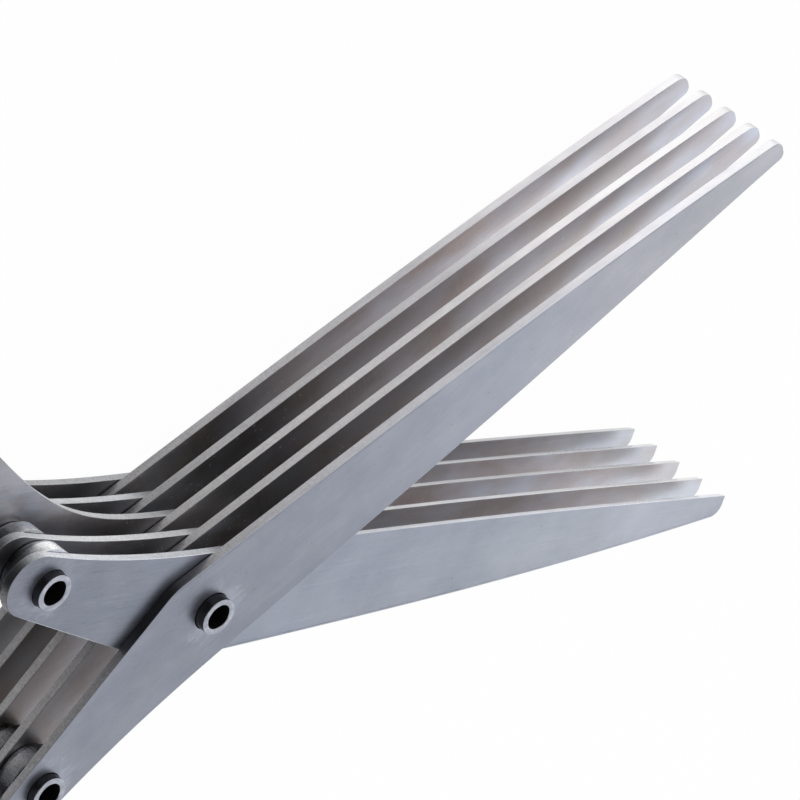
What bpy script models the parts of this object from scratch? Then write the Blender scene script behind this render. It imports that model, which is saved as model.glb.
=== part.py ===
"""Herb scissors with five pairs of thin blades, one object for each separate piece.

The scissors lie on their side. The pivot runs along +Z, the tips point to +X, and the handles
reach to -X. Half A has its tips on the +Y side, and half B has its tips on the -Y side.
Each half is drawn in its own blade frame: u runs from the pivot to the tip, and w runs square
to it, positive on the side of the cutting edge, where the tang and the handle also lie.
"""
import math

import bmesh
import bpy
from mathutils import Vector

MM = 0.001
DEGREE = math.pi / 180

# Blade stack
PAIR_COUNT = 5
BLADE_THICKNESS = 1.1 * MM
PAIR_GAP = 0.1 * MM
STACK_GAP = 1.7 * MM
SEAT_GAP = 0.1 * MM
HALF_OPENING = 17.2 * DEGREE

# Blade outline
BLADE_REACH = 90.25 * MM
EDGE_OFFSET = 7.15 * MM
SPINE_OFFSET = 7.0 * MM
EDGE_FALL_SHARE = 0.68
EDGE_BELLY_SHARE = 0.27
SPINE_FALL_SHARE = 0.347
SPINE_BELLY_SHARE = 0.346
TIP_ROUND_SHARE = 0.6
POINT_ROUND_A = 0.9 * MM
WIDENING_REACH = 45.0 * MM
EDGE_WIDENING_A = 0.4 * MM
SPINE_WIDENING_B = 0.25 * MM
HEEL_REACH = 3.8 * MM
HEEL_RADIUS = 6.0 * MM
GRIND_START = 12.0 * MM
GRIND_DROP_A = 0.08 * MM
GRIND_DROP_B = 0.38 * MM

# Short tang, on the four outer blades of each half
TANG_REACH = 27.5 * MM
TANG_ANGLE = 14.3 * DEGREE
TANG_OVERHANG = 2.5 * MM
TANG_RADIUS = 3.9 * MM
TANG_HANDLE_SHARE = 0.36

# Long tang, on the middle blade of each half
FLARE_REACH = 34.0 * MM
FLARE_HEIGHT = 21.3 * MM
FLARE_ANGLE = 38.5 * DEGREE
FLARE_NEAR_SHARE = 0.44
FLARE_FAR_SHARE = 0.54
BEND_REACH = 24.5 * MM
BEND_HEIGHT = 1.6 * MM
BEND_RADIUS = 5.0 * MM
TAIL_DEPTH = 9.5 * MM
TAIL_INNER_SHARE = 0.076
TAIL_OUTER_SHARE = 0.645
SHOULDER_DEPTH_SHARE = 0.33
TAIL_CORNER = 3.0 * MM
ANCHOR_RADIUS_SHARE = 0.2
ANCHOR_DEPTH_SHARE = 0.6
ANCHOR_WIDTH_SHARES = (0.25, 0.75)

# Tube rivets, washers and spacers
RIVET_RADIUS = 2.3 * MM
RIVET_BORE = 1.57 * MM
RIVET_CHAMFER = 0.15 * MM
RIVET_CLEARANCE = 0.07 * MM
PIVOT_PROUD = 1.4 * MM
TANG_PROUD = 1.1 * MM
WASHER_RADIUS = 4.6 * MM
SPACER_RADIUS = 4.3 * MM
SPACER_CHAMFER = 0.25 * MM
COLLAR_RADIUS = 3.7 * MM
COLLAR_LENGTH = 0.7 * MM

# Handles and their soft linings
HANDLE_START = 38.0 * MM
HANDLE_LENGTH = 66.0 * MM
HANDLE_WIDTH = 41.0 * MM
HANDLE_MEETING_GAP = 1.0 * MM
HANDLE_THICKNESS = 13.0 * MM
HANDLE_ROUND = 3.2 * MM
SLOT_CLEARANCE = 0.3 * MM
HANDLE_CORNER = 4.2 * MM
LOOP_CENTRE_SHARES = (0.54, 0.495)
LOOP_HALF_SHARES = (0.34, 0.307)
LOOP_SQUARENESS = 2.35
GRIP_THICKNESS = 1.7 * MM
GRIP_DEPTH = 10.6 * MM
GRIP_ROUND = 0.6 * MM
GRIP_CLEARANCE = 0.3 * MM

# The handle's outline: shares of its length from the front, and of its width from the inner side
BOW_SHARES = (
    (0.14, 0.008), (0.36, 0.0), (0.62, 0.01), (0.83, 0.085), (0.965, 0.3), (1.0, 0.55),
    (0.925, 0.79), (0.76, 0.95), (0.53, 1.0), (0.33, 0.945), (0.16, 0.82),
)
MOUTH_SHARES = ((0.04, 0.72), (0.035, 0.36), (0.0, 0.0))

# How finely round shapes are drawn
EDGE_STEPS = 9
TANG_STEPS = 7
ARC_STEPS = 7
CORNER_STEPS = 4
OUTLINE_STEPS = 3
HOLE_STEPS = 24
LOOP_STEPS = 36
TURN_STEPS = 28
SMOOTH_ANGLE = 35 * DEGREE

# Sizes that follow from the ones above
PITCH = 2 * BLADE_THICKNESS + PAIR_GAP + STACK_GAP
STACK_DEPTH = PAIR_COUNT * PITCH - STACK_GAP
STACK_TOP = PIVOT_PROUD + STACK_DEPTH
MIDDLE_PAIR = PAIR_COUNT // 2
SHAFT_HOLE = RIVET_RADIUS + RIVET_CLEARANCE
TANG_RIVET = (-TANG_REACH * math.cos(TANG_ANGLE), TANG_REACH * math.sin(TANG_ANGLE))
HANDLE_INNER = HANDLE_MEETING_GAP / 2
TAIL_REACH = HANDLE_START + TAIL_DEPTH
TAIL_INNER = HANDLE_INNER + HANDLE_WIDTH * TAIL_INNER_SHARE
TAIL_OUTER = HANDLE_INNER + HANDLE_WIDTH * TAIL_OUTER_SHARE
ANCHOR_RADIUS = TAIL_DEPTH * ANCHOR_RADIUS_SHARE

# Colours, roughness and metallic share of the materials
STEEL_FACE = ("satin_steel", (0.36, 0.38, 0.41), 0.42, 1.0)
STEEL_TURNED = ("turned_steel", (0.50, 0.50, 0.51), 0.30, 1.0)
STEEL_WASHER = ("washer_steel", (0.33, 0.34, 0.36), 0.38, 1.0)
HANDLE_PLASTIC = ("handle_plastic", (0.045, 0.050, 0.055), 0.45, 0.0)
GRIP_RUBBER = ("grip_rubber", (0.16, 0.36, 0.08), 0.65, 0.0)


def clear_scene():
    """Remove every object, so that the file holds only the scissors."""
    for obj in list(bpy.data.objects):
        bpy.data.objects.remove(obj, do_unlink=True)


def make_collection(name):
    collection = bpy.data.collections.new(name)
    bpy.context.scene.collection.children.link(collection)
    return collection


def make_material(description):
    """A plain surface from its name, colour, roughness and metallic share."""
    name, colour, roughness, metallic = description
    material = bpy.data.materials.get(name) or bpy.data.materials.new(name)
    material.use_nodes = True
    shader = material.node_tree.nodes["Principled BSDF"]
    shader.inputs["Base Color"].default_value = (*colour, 1.0)
    shader.inputs["Roughness"].default_value = roughness
    shader.inputs["Metallic"].default_value = metallic
    material.diffuse_color = (*colour, 1.0)
    return material


def along(start, end, share):
    return (start[0] + (end[0] - start[0]) * share, start[1] + (end[1] - start[1]) * share)


def bezier(start, near, far, end, steps):
    """Points on a cubic curve, from its start up to but without its end."""
    points = []
    for step in range(steps):
        t = step / steps
        a, b, c = along(start, near, t), along(near, far, t), along(far, end, t)
        points.append(along(along(a, b, t), along(b, c, t), t))
    return points


def arc(centre, radius, start_angle, end_angle, steps):
    points = []
    for step in range(steps + 1):
        angle = start_angle + (end_angle - start_angle) * step / steps
        points.append((centre[0] + radius * math.cos(angle), centre[1] + radius * math.sin(angle)))
    return points


def circle(centre, radius, steps):
    return arc(centre, radius, 0, 2 * math.pi, steps)[:-1]


def rounded_corner(before, corner, after, radius, steps):
    """Points of the arc that rounds one corner of an outline, no longer than its two sides allow."""
    back = Vector(before) - Vector(corner)
    ahead = Vector(after) - Vector(corner)
    half_angle = back.angle(ahead) / 2
    cut = min(radius / math.tan(half_angle), back.length / 2, ahead.length / 2)
    reach = cut / math.cos(half_angle)
    centre = Vector(corner) + (back.normalized() + ahead.normalized()).normalized() * reach
    first = Vector(corner) + back.normalized() * cut - centre
    last = Vector(corner) + ahead.normalized() * cut - centre
    turn = first.angle_signed(last)
    start_angle = math.atan2(first.y, first.x)
    return arc(centre, first.length, start_angle, start_angle - turn, steps)


def offset_outline(outline, distance):
    """The outline moved outwards by a distance, for an outline that runs anticlockwise."""
    moved = []
    for index, point in enumerate(outline):
        before = Vector(point) - Vector(outline[index - 1])
        after = Vector(outline[(index + 1) % len(outline)]) - Vector(point)
        normal_before = Vector((before.y, -before.x)).normalized()
        normal_after = Vector((after.y, -after.x)).normalized()
        normal = (normal_before + normal_after).normalized()
        moved.append(tuple(Vector(point) + normal * distance / normal.dot(normal_after)))
    return moved


def widening(u, full):
    """Extra width of a blade, which grows from nothing at the pivot to its full size further out."""
    return full * min(max(u / WIDENING_REACH, 0), 1)


def edge_height(u, half):
    """Distance of the cutting edge from the blade's axis."""
    share = u / BLADE_REACH
    extra = widening(u, EDGE_WIDENING_A) if half == "a" else 0
    return EDGE_OFFSET * (1 - EDGE_FALL_SHARE * share - EDGE_BELLY_SHARE * share ** 2) + extra


def spine_depth(u, half):
    """Distance of the spine from the blade's axis."""
    share = u / BLADE_REACH
    extra = widening(u, SPINE_WIDENING_B) if half == "b" else 0
    return SPINE_OFFSET * (1 - SPINE_FALL_SHARE * share - SPINE_BELLY_SHARE * share ** 3) + extra


def cutting_edge_points(half):
    """From the tip, whose point is rounded on half A, back to just ahead of the pivot."""
    reaches = [BLADE_REACH * (1 - step / EDGE_STEPS) for step in range(EDGE_STEPS)]
    edge = [(u, edge_height(u, half)) for u in reaches]
    if half == "b":
        return edge
    below = (BLADE_REACH, -spine_depth(BLADE_REACH, half))
    return rounded_corner(below, edge[0], edge[1], POINT_ROUND_A, CORNER_STEPS) + edge[1:]


def spine_and_tip_points(half):
    """From just ahead of the pivot along the spine and round the tip's lower corner."""
    tip_width = edge_height(BLADE_REACH, half) + spine_depth(BLADE_REACH, half)
    reaches = [BLADE_REACH * step / EDGE_STEPS for step in range(EDGE_STEPS)]
    spine = [(u, -spine_depth(u, half)) for u in reaches]
    corner = (BLADE_REACH, -spine_depth(BLADE_REACH, half))
    beyond = along(corner, (BLADE_REACH, edge_height(BLADE_REACH, half)), 2)
    tip = rounded_corner(spine[-1], corner, beyond, tip_width * TIP_ROUND_SHARE, CORNER_STEPS)
    return spine + tip


def heel_points(before, half):
    """The turn from the tang's inner side into the spine, just behind the pivot."""
    corner = (-HEEL_REACH, -spine_depth(-HEEL_REACH, half))
    return rounded_corner(before, corner, (0, -spine_depth(0, half)), HEEL_RADIUS, CORNER_STEPS)


def root_slope():
    """Unit direction of the cutting edge where it passes the pivot, towards the tang."""
    return Vector((-BLADE_REACH, EDGE_OFFSET * EDGE_FALL_SHARE)).normalized()


def short_blade_outline(half):
    """A blade whose tang ends in a round just past its rivet."""
    root = Vector((0, edge_height(0, half)))
    tang_direction = Vector((-math.cos(TANG_ANGLE), math.sin(TANG_ANGLE)))
    centre = tang_direction * (TANG_REACH + TANG_OVERHANG)
    top_angle = math.pi / 2 - TANG_ANGLE
    top = centre + TANG_RADIUS * Vector((math.cos(top_angle), math.sin(top_angle)))
    handle = (top - root).length * TANG_HANDLE_SHARE
    upper = bezier(root, root + root_slope() * handle, top - tang_direction * handle, top, TANG_STEPS)
    heel = Vector((-HEEL_REACH, -spine_depth(-HEEL_REACH, half)))
    to_heel = heel - centre
    swing = math.acos(TANG_RADIUS / to_heel.length)
    lower_angle = 2 * math.pi + math.atan2(to_heel.y, to_heel.x) - swing
    end = arc(centre, TANG_RADIUS, top_angle, lower_angle, ARC_STEPS)
    return cutting_edge_points(half) + upper + end + heel_points(end[-1], half) + spine_and_tip_points(half)


def long_blade_outline(half):
    """The middle blade, whose tang flares outwards and runs on into the handle."""
    root = Vector((0, edge_height(0, half)))
    flare_end = Vector((-FLARE_REACH, FLARE_HEIGHT))
    flare_direction = Vector((-math.cos(FLARE_ANGLE), math.sin(FLARE_ANGLE)))
    near = root + root_slope() * FLARE_REACH * FLARE_NEAR_SHARE
    far = flare_end - flare_direction * FLARE_REACH * FLARE_FAR_SHARE
    upper = bezier(root, near, far, flare_end, TANG_STEPS)
    shoulder_reach = HANDLE_START + TAIL_DEPTH * SHOULDER_DEPTH_SHARE
    corners = (
        tuple(flare_end), (-shoulder_reach, TAIL_OUTER), (-TAIL_REACH, TAIL_OUTER),
        (-TAIL_REACH, TAIL_INNER), (-BEND_REACH, BEND_HEIGHT), (-HEEL_REACH, -spine_depth(-HEEL_REACH, half)),
    )
    radii = (TAIL_CORNER, TAIL_CORNER, TAIL_CORNER, BEND_RADIUS)
    tail = [tuple(flare_end)]
    for index, radius in enumerate(radii):
        tail += rounded_corner(corners[index], corners[index + 1], corners[index + 2], radius, CORNER_STEPS)
    return cutting_edge_points(half) + upper + tail + heel_points(tail[-1], half) + spine_and_tip_points(half)


def anchor_centres():
    """Places of the holes in the long tang that the handle's plastic passes through."""
    reach = HANDLE_START + TAIL_DEPTH * ANCHOR_DEPTH_SHARE
    height = TAIL_OUTER - TAIL_INNER
    return [(-reach, TAIL_INNER + height * share) for share in ANCHOR_WIDTH_SHARES]


def catmull_rom(points, steps):
    """A smooth open line through the points."""
    smooth = []
    padded = [points[0], *points, points[-1]]
    for index in range(1, len(padded) - 2):
        p0, p1, p2, p3 = (Vector(padded[index + shift]) for shift in (-1, 0, 1, 2))
        for step in range(steps):
            t = step / steps
            blend = (2 * p1 + (p2 - p0) * t + (2 * p0 - 5 * p1 + 4 * p2 - p3) * t ** 2
                     + (3 * p1 - p0 - 3 * p2 + p3) * t ** 3) / 2
            smooth.append(tuple(blend))
    smooth.append(tuple(points[-1]))
    return smooth


def handle_point(shares):
    """A place on the handle from its shares of the length and the width."""
    length_share, width_share = shares
    return (-HANDLE_START - HANDLE_LENGTH * length_share, HANDLE_INNER + HANDLE_WIDTH * width_share)


def handle_outline():
    """The bow round the finger loop, closed in front by the mouth that the tang runs into."""
    bow = catmull_rom([handle_point(shares) for shares in BOW_SHARES], OUTLINE_STEPS)
    outer, middle, inner = (handle_point(shares) for shares in MOUTH_SHARES)
    outer_corner = rounded_corner(bow[-1], outer, middle, HANDLE_CORNER, CORNER_STEPS)
    inner_corner = rounded_corner(middle, inner, bow[0], HANDLE_CORNER, CORNER_STEPS)
    return bow + outer_corner + [middle] + inner_corner


def loop_outline(inset):
    """The finger loop, an oval with slightly flattened sides, drawn in by an inset."""
    centre_u, centre_w = handle_point(LOOP_CENTRE_SHARES)
    half_length = HANDLE_LENGTH * LOOP_HALF_SHARES[0] - inset
    half_width = HANDLE_WIDTH * LOOP_HALF_SHARES[1] - inset
    points = []
    for step in range(LOOP_STEPS):
        angle = 2 * math.pi * step / LOOP_STEPS
        c, s = math.cos(angle), math.sin(angle)
        stretch_u = math.copysign(abs(c) ** (2 / LOOP_SQUARENESS), c)
        stretch_w = math.copysign(abs(s) ** (2 / LOOP_SQUARENESS), s)
        points.append((centre_u + half_length * stretch_u, centre_w + half_width * stretch_w))
    return points


def plate_mesh(name, outlines, thickness, side, rounding=0.0, rounding_steps=1):
    """A flat plate between its outlines, the first one outside and the others as holes."""
    curve = bpy.data.curves.new(name, "CURVE")
    curve.dimensions = "2D"
    curve.fill_mode = "BOTH"
    curve.extrude = thickness / 2 - rounding
    curve.bevel_depth = rounding
    curve.bevel_resolution = rounding_steps
    curve.offset = -rounding
    for outline in outlines:
        spline = curve.splines.new("POLY")
        spline.points.add(len(outline) - 1)
        for point, (u, w) in zip(spline.points, outline):
            point.co = (u, w * side, 0, 1)
        spline.use_cyclic_u = True
    drawn = bpy.data.objects.new(name, curve)
    bpy.context.scene.collection.objects.link(drawn)
    bpy.context.view_layer.update()
    evaluated = drawn.evaluated_get(bpy.context.evaluated_depsgraph_get())
    mesh = bpy.data.meshes.new_from_object(evaluated)
    bpy.data.objects.remove(drawn, do_unlink=True)
    close_mesh(mesh)
    return mesh


def close_mesh(mesh):
    """Weld a curve's loose caps to its walls and turn every face outwards."""
    shape = bmesh.new()
    shape.from_mesh(mesh)
    bmesh.ops.remove_doubles(shape, verts=shape.verts, dist=SEAT_GAP / 100)
    bmesh.ops.recalc_face_normals(shape, faces=shape.faces)
    shape.to_mesh(mesh)
    shape.free()


def grind_edge(mesh, half, ground_face):
    """Slope the cutting edge back from the face that slides on the other blade."""
    margin = SEAT_GAP / 10
    side, drop = (-1, GRIND_DROP_A) if half == "a" else (1, GRIND_DROP_B)
    for vertex in mesh.vertices:
        u, w, z = vertex.co.x, vertex.co.y * side, vertex.co.z
        on_edge = u > GRIND_START and abs(w - edge_height(u, half)) < margin
        if on_edge and z * ground_face > 0:
            vertex.co.y -= side * drop


def place(name, mesh, collection, parent, location, material, smooth=False):
    """Put a mesh in the scene as one named piece."""
    obj = bpy.data.objects.new(name, mesh)
    collection.objects.link(obj)
    obj.parent = parent
    obj.location = location
    mesh.materials.clear()
    mesh.materials.append(make_material(material))
    if smooth:
        mesh.shade_smooth()
        mesh.set_sharp_from_angle(angle=SMOOTH_ANGLE)
    return obj


def turned_piece(name, profile, collection, parent, location, material):
    """A round piece from its closed profile of radius and height, which runs down its outer side."""
    mesh = bpy.data.meshes.new(name)
    count = len(profile)
    edges = [(index, (index + 1) % count) for index in range(count)]
    mesh.from_pydata([(radius, 0, height) for radius, height in profile], edges, [])
    obj = place(name, mesh, collection, parent, location, material)
    turn = obj.modifiers.new("Turn", "SCREW")
    turn.axis = "Z"
    turn.steps = TURN_STEPS
    turn.render_steps = TURN_STEPS
    turn.use_merge_vertices = True
    turn.merge_threshold = SEAT_GAP / 100
    turn.use_smooth_shade = True
    return obj


def front_of(half, index):
    """Height of a blade's front face. Blade A of each pair lies in front of blade B."""
    behind = BLADE_THICKNESS + PAIR_GAP if half == "b" else 0
    return STACK_TOP - index * PITCH - behind


def build_blade(half, index, collection, parent):
    """One blade. Half A slides with its back face and half B with its front face."""
    side = -1 if half == "a" else 1
    is_middle = index == MIDDLE_PAIR
    outline = long_blade_outline(half) if is_middle else short_blade_outline(half)
    holes = [circle((0, 0), SHAFT_HOLE, HOLE_STEPS), circle(TANG_RIVET, SHAFT_HOLE, HOLE_STEPS)]
    if is_middle:
        holes += [circle(centre, ANCHOR_RADIUS, HOLE_STEPS) for centre in anchor_centres()]
    name = f"blade_{half}{index + 1}"
    mesh = plate_mesh(name, [outline, *holes], BLADE_THICKNESS, side)
    grind_edge(mesh, half, ground_face=-side)
    height = front_of(half, index) - BLADE_THICKNESS / 2
    return place(name, mesh, collection, parent, (0, 0, height), STEEL_FACE)


def build_rivet(name, centre, low, high, collection, parent):
    """A tube rivet with its rims slightly broken."""
    middle, half_length = (low + high) / 2, (high - low) / 2
    profile = [
        (RIVET_RADIUS - RIVET_CHAMFER, half_length), (RIVET_RADIUS, half_length - RIVET_CHAMFER),
        (RIVET_RADIUS, -half_length + RIVET_CHAMFER), (RIVET_RADIUS - RIVET_CHAMFER, -half_length),
        (RIVET_BORE + RIVET_CHAMFER, -half_length), (RIVET_BORE, -half_length + RIVET_CHAMFER),
        (RIVET_BORE, half_length - RIVET_CHAMFER), (RIVET_BORE + RIVET_CHAMFER, half_length),
    ]
    return turned_piece(name, profile, collection, parent, (*centre, middle), STEEL_TURNED)


def build_washers(collection, parent):
    """Plain washers on the pivot, between one pair of blades and the next."""
    half = STACK_GAP / 2 - SEAT_GAP
    profile = [(WASHER_RADIUS, half), (WASHER_RADIUS, -half), (SHAFT_HOLE, -half), (SHAFT_HOLE, half)]
    for index in range(PAIR_COUNT - 1):
        height = front_of("a", index + 1) + STACK_GAP / 2
        name = f"pivot_washer_{index + 1}"
        turned_piece(name, profile, collection, parent, (0, 0, height), STEEL_WASHER)


def build_spacers(half, centre, collection, parent):
    """Stepped spacers on the tang rivet, between neighbouring blades of one half."""
    length = PITCH - BLADE_THICKNESS - 2 * SEAT_GAP
    top, bottom = length / 2, -length / 2
    step = bottom + COLLAR_LENGTH
    profile = [
        (SPACER_RADIUS - SPACER_CHAMFER, top), (SPACER_RADIUS, top - SPACER_CHAMFER),
        (SPACER_RADIUS, step + SPACER_CHAMFER), (SPACER_RADIUS - SPACER_CHAMFER, step),
        (COLLAR_RADIUS, step), (COLLAR_RADIUS, bottom), (SHAFT_HOLE, bottom), (SHAFT_HOLE, top),
    ]
    for index in range(PAIR_COUNT - 1):
        height = front_of(half, index + 1) + SEAT_GAP + length / 2
        name = f"tang_spacer_{half}{index + 1}"
        turned_piece(name, profile, collection, parent, (*centre, height), STEEL_TURNED)


def build_handle(half, parts, cutters, parent):
    """A handle moulded round the middle blade's tang, and the soft lining of its finger loop."""
    side = -1 if half == "a" else 1
    stack_middle = STACK_TOP - STACK_DEPTH / 2
    name = f"handle_{half}"
    outlines = [handle_outline(), loop_outline(0)]
    mesh = plate_mesh(name, outlines, HANDLE_THICKNESS, side, HANDLE_ROUND, rounding_steps=2)
    handle = place(name, mesh, parts, parent, (0, 0, stack_middle), HANDLE_PLASTIC, smooth=True)

    slot_outline = offset_outline(long_blade_outline(half), SLOT_CLEARANCE)
    posts = [circle(centre, ANCHOR_RADIUS - SLOT_CLEARANCE, HOLE_STEPS) for centre in anchor_centres()]
    slot_depth = BLADE_THICKNESS + 2 * SLOT_CLEARANCE
    slot_mesh = plate_mesh(f"slot_{half}", [slot_outline, *posts], slot_depth, side)
    slot_height = front_of(half, MIDDLE_PAIR) - BLADE_THICKNESS / 2
    slot = place(f"slot_{half}", slot_mesh, cutters, parent, (0, 0, slot_height), HANDLE_PLASTIC)
    slot.hide_render = True
    slot.display_type = "WIRE"
    cut = handle.modifiers.new("Tang slot", "BOOLEAN")
    cut.operation = "DIFFERENCE"
    cut.solver = "EXACT"
    cut.object = slot

    outer = loop_outline(GRIP_CLEARANCE)
    inner = loop_outline(GRIP_CLEARANCE + GRIP_THICKNESS)
    grip_name = f"grip_lining_{half}"
    grip_mesh = plate_mesh(grip_name, [outer, inner], GRIP_DEPTH, side, GRIP_ROUND)
    place(grip_name, grip_mesh, parts, parent, (0, 0, stack_middle), GRIP_RUBBER, smooth=True)


def build_half(half, parts, cutters, parent):
    """All pieces that turn together on one side of the pivot."""
    side = -1 if half == "a" else 1
    rivet_centre = (TANG_RIVET[0], TANG_RIVET[1] * side)
    for index in range(PAIR_COUNT):
        build_blade(half, index, parts, parent)
    low = front_of(half, PAIR_COUNT - 1) - BLADE_THICKNESS - TANG_PROUD
    high = front_of(half, 0) + TANG_PROUD
    build_rivet(f"tang_rivet_{half}", rivet_centre, low, high, parts, parent)
    build_spacers(half, rivet_centre, parts, parent)
    build_handle(half, parts, cutters, parent)


def make_empty(name, parent, turn, collection):
    empty = bpy.data.objects.new(name, None)
    empty.empty_display_size = TANG_REACH
    empty.parent = parent
    empty.rotation_euler = (0, 0, turn)
    collection.objects.link(empty)
    return empty


def centre_on_footprint(root, collection):
    """Shift the whole so that its box is centred over the origin and stands on it."""
    bpy.context.view_layer.update()
    graph = bpy.context.evaluated_depsgraph_get()
    points = []
    for obj in collection.objects:
        if obj.type == "MESH":
            evaluated = obj.evaluated_get(graph)
            points += [obj.matrix_world @ vertex.co for vertex in evaluated.data.vertices]
    for axis in (0, 1):
        values = [point[axis] for point in points]
        root.location[axis] = -(min(values) + max(values)) / 2
    root.location[2] = -min(point[2] for point in points)
    bpy.context.view_layer.update()


def main():
    clear_scene()
    parts = make_collection("herb_scissors")
    cutters = make_collection("cutters")
    root = make_empty("herb_scissors_root", None, 0, parts)
    half_b = make_empty("half_b_pivot", root, -HALF_OPENING, parts)
    half_a = make_empty("half_a_pivot", root, HALF_OPENING, parts)
    build_half("b", parts, cutters, half_b)
    build_half("a", parts, cutters, half_a)
    build_rivet("pivot_rivet", (0, 0), 0, STACK_TOP + PIVOT_PROUD, parts, half_b)
    build_washers(parts, half_b)
    centre_on_footprint(root, parts)


main()
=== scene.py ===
"""Dressed model of herb scissors with five pairs of blades, on a pale floor in soft studio light.

Each blade, rivet, washer, spacer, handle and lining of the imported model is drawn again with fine
curves, broken edges and procedural finishes. Half A has its tips on the +Y side and half B on the
-Y side. Flat pieces are drawn in the blade frame of their half: u runs from the pivot to the tip,
and w runs square to it, positive on the side of the cutting edge.
"""

import math

import bmesh
import bpy
from mathutils import Matrix, Vector


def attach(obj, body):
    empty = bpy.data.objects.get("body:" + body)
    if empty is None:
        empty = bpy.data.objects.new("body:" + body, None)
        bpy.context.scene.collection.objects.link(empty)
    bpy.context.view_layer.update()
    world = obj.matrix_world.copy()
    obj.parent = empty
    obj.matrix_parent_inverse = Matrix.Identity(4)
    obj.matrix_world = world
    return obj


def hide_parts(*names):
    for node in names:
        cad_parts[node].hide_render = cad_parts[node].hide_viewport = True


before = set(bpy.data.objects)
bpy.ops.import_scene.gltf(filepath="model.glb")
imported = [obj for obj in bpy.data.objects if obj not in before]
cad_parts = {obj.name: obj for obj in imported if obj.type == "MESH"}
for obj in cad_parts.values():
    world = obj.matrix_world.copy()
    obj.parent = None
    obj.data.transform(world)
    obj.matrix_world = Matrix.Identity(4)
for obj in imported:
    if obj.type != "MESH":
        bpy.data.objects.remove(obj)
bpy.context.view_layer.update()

MM = 0.001
DEGREE = math.pi / 180

# Camera, fitted to the photograph
CAMERA_PLACE = (-0.37256990, 0.46236990, 0.41128144)
CAMERA_TURN = (-42.77846, -41.87788, 6.37122)
CAMERA_LENS = 286.519
CAMERA_SENSOR = 36.0
CAMERA_NEAR = 0.01
CAMERA_FAR = 100.0

# Blade stack
PAIR_COUNT = 5
BLADE_THICKNESS = 1.1 * MM
PAIR_GAP = 0.1 * MM
STACK_GAP = 1.7 * MM
SEAT_GAP = 0.1 * MM
HALF_OPENING = 17.2 * DEGREE
PIVOT_X = 3.7568 * MM

# Blade outline
BLADE_REACH = 90.25 * MM
EDGE_OFFSET = 7.15 * MM
SPINE_OFFSET = 7.0 * MM
EDGE_FALL_SHARE = 0.68
EDGE_BELLY_SHARE = 0.27
SPINE_FALL_SHARE = 0.347
SPINE_BELLY_SHARE = 0.346
TIP_ROUND_SHARE = 0.6
POINT_ROUND_A = 0.9 * MM
WIDENING_REACH = 45.0 * MM
EDGE_WIDENING_A = 0.4 * MM
SPINE_WIDENING_B = 0.25 * MM
HEEL_REACH = 3.8 * MM
HEEL_RADIUS = 6.0 * MM
GRIND_START = 10.0 * MM
GRIND_RUN = 10.0 * MM
GRIND_FADE = 3.0 * MM
GRIND_DROP_A = 0.08 * MM
GRIND_DROP_B = 0.38 * MM

# Short tang, on the four outer blades of each half
TANG_REACH = 27.5 * MM
TANG_ANGLE = 14.3 * DEGREE
TANG_OVERHANG = 2.5 * MM
TANG_RADIUS = 3.9 * MM
TANG_HANDLE_SHARE = 0.36

# Long tang, on the middle blade of each half
FLARE_REACH = 34.0 * MM
FLARE_HEIGHT = 21.3 * MM
FLARE_ANGLE = 38.5 * DEGREE
FLARE_NEAR_SHARE = 0.44
FLARE_FAR_SHARE = 0.54
BEND_REACH = 24.5 * MM
BEND_HEIGHT = 1.6 * MM
BEND_RADIUS = 5.0 * MM
TAIL_DEPTH = 9.5 * MM
TAIL_INNER_SHARE = 0.076
TAIL_OUTER_SHARE = 0.645
SHOULDER_DEPTH_SHARE = 0.33
TAIL_CORNER = 3.0 * MM

# Tube rivets, washers and spacers
RIVET_RADIUS = 2.3 * MM
RIVET_BORE = 1.57 * MM
RIVET_ROUND = 0.15 * MM
RIVET_CLEARANCE = 0.07 * MM
PIVOT_PROUD = 1.4 * MM
TANG_PROUD = 1.1 * MM
WASHER_RADIUS = 4.6 * MM
WASHER_ROUND = 0.12 * MM
SPACER_RADIUS = 4.3 * MM
SPACER_ROUND = 0.6 * MM
COLLAR_RADIUS = 3.7 * MM
COLLAR_LENGTH = 0.7 * MM

# Handles and their soft linings
HANDLE_START = 38.0 * MM
HANDLE_LENGTH = 66.0 * MM
HANDLE_WIDTH = 41.0 * MM
HANDLE_MEETING_GAP = 1.0 * MM
HANDLE_THICKNESS = 13.0 * MM
HANDLE_ROUND = 3.2 * MM
HANDLE_CORNER = 4.2 * MM
LOOP_CENTRE_SHARES = (0.54, 0.495)
LOOP_HALF_SHARES = (0.34, 0.307)
LOOP_SQUARENESS = 2.35
GRIP_THICKNESS = 1.7 * MM
GRIP_DEPTH = 10.6 * MM
GRIP_ROUND = 0.6 * MM
GRIP_CLEARANCE = 0.3 * MM
SEAM_WIDTH = 0.3 * MM
SEAM_DEPTH = 0.25 * MM
GROOVE_COUNT = 5
GROOVE_START = 0.055
GROOVE_STEP = 0.032
GROOVE_INNER = 0.24
GROOVE_OUTER = 0.62
GROOVE_TAPER = 0.02
GROOVE_RADIUS = 0.55 * MM
GROOVE_DEPTH = 0.5 * MM
GROOVE_STEPS = 8
RIB_COUNT = 44
RIB_HEIGHT = 0.35 * MM
RIB_FREE = 0.45
BOW_SHARES = (
    (0.14, 0.008), (0.36, 0.0), (0.62, 0.01), (0.83, 0.085), (0.965, 0.3), (1.0, 0.55),
    (0.925, 0.79), (0.76, 0.95), (0.53, 1.0), (0.33, 0.945), (0.16, 0.82),
)
MOUTH_SHARES = ((0.04, 0.72), (0.035, 0.36), (0.0, 0.0))

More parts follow.
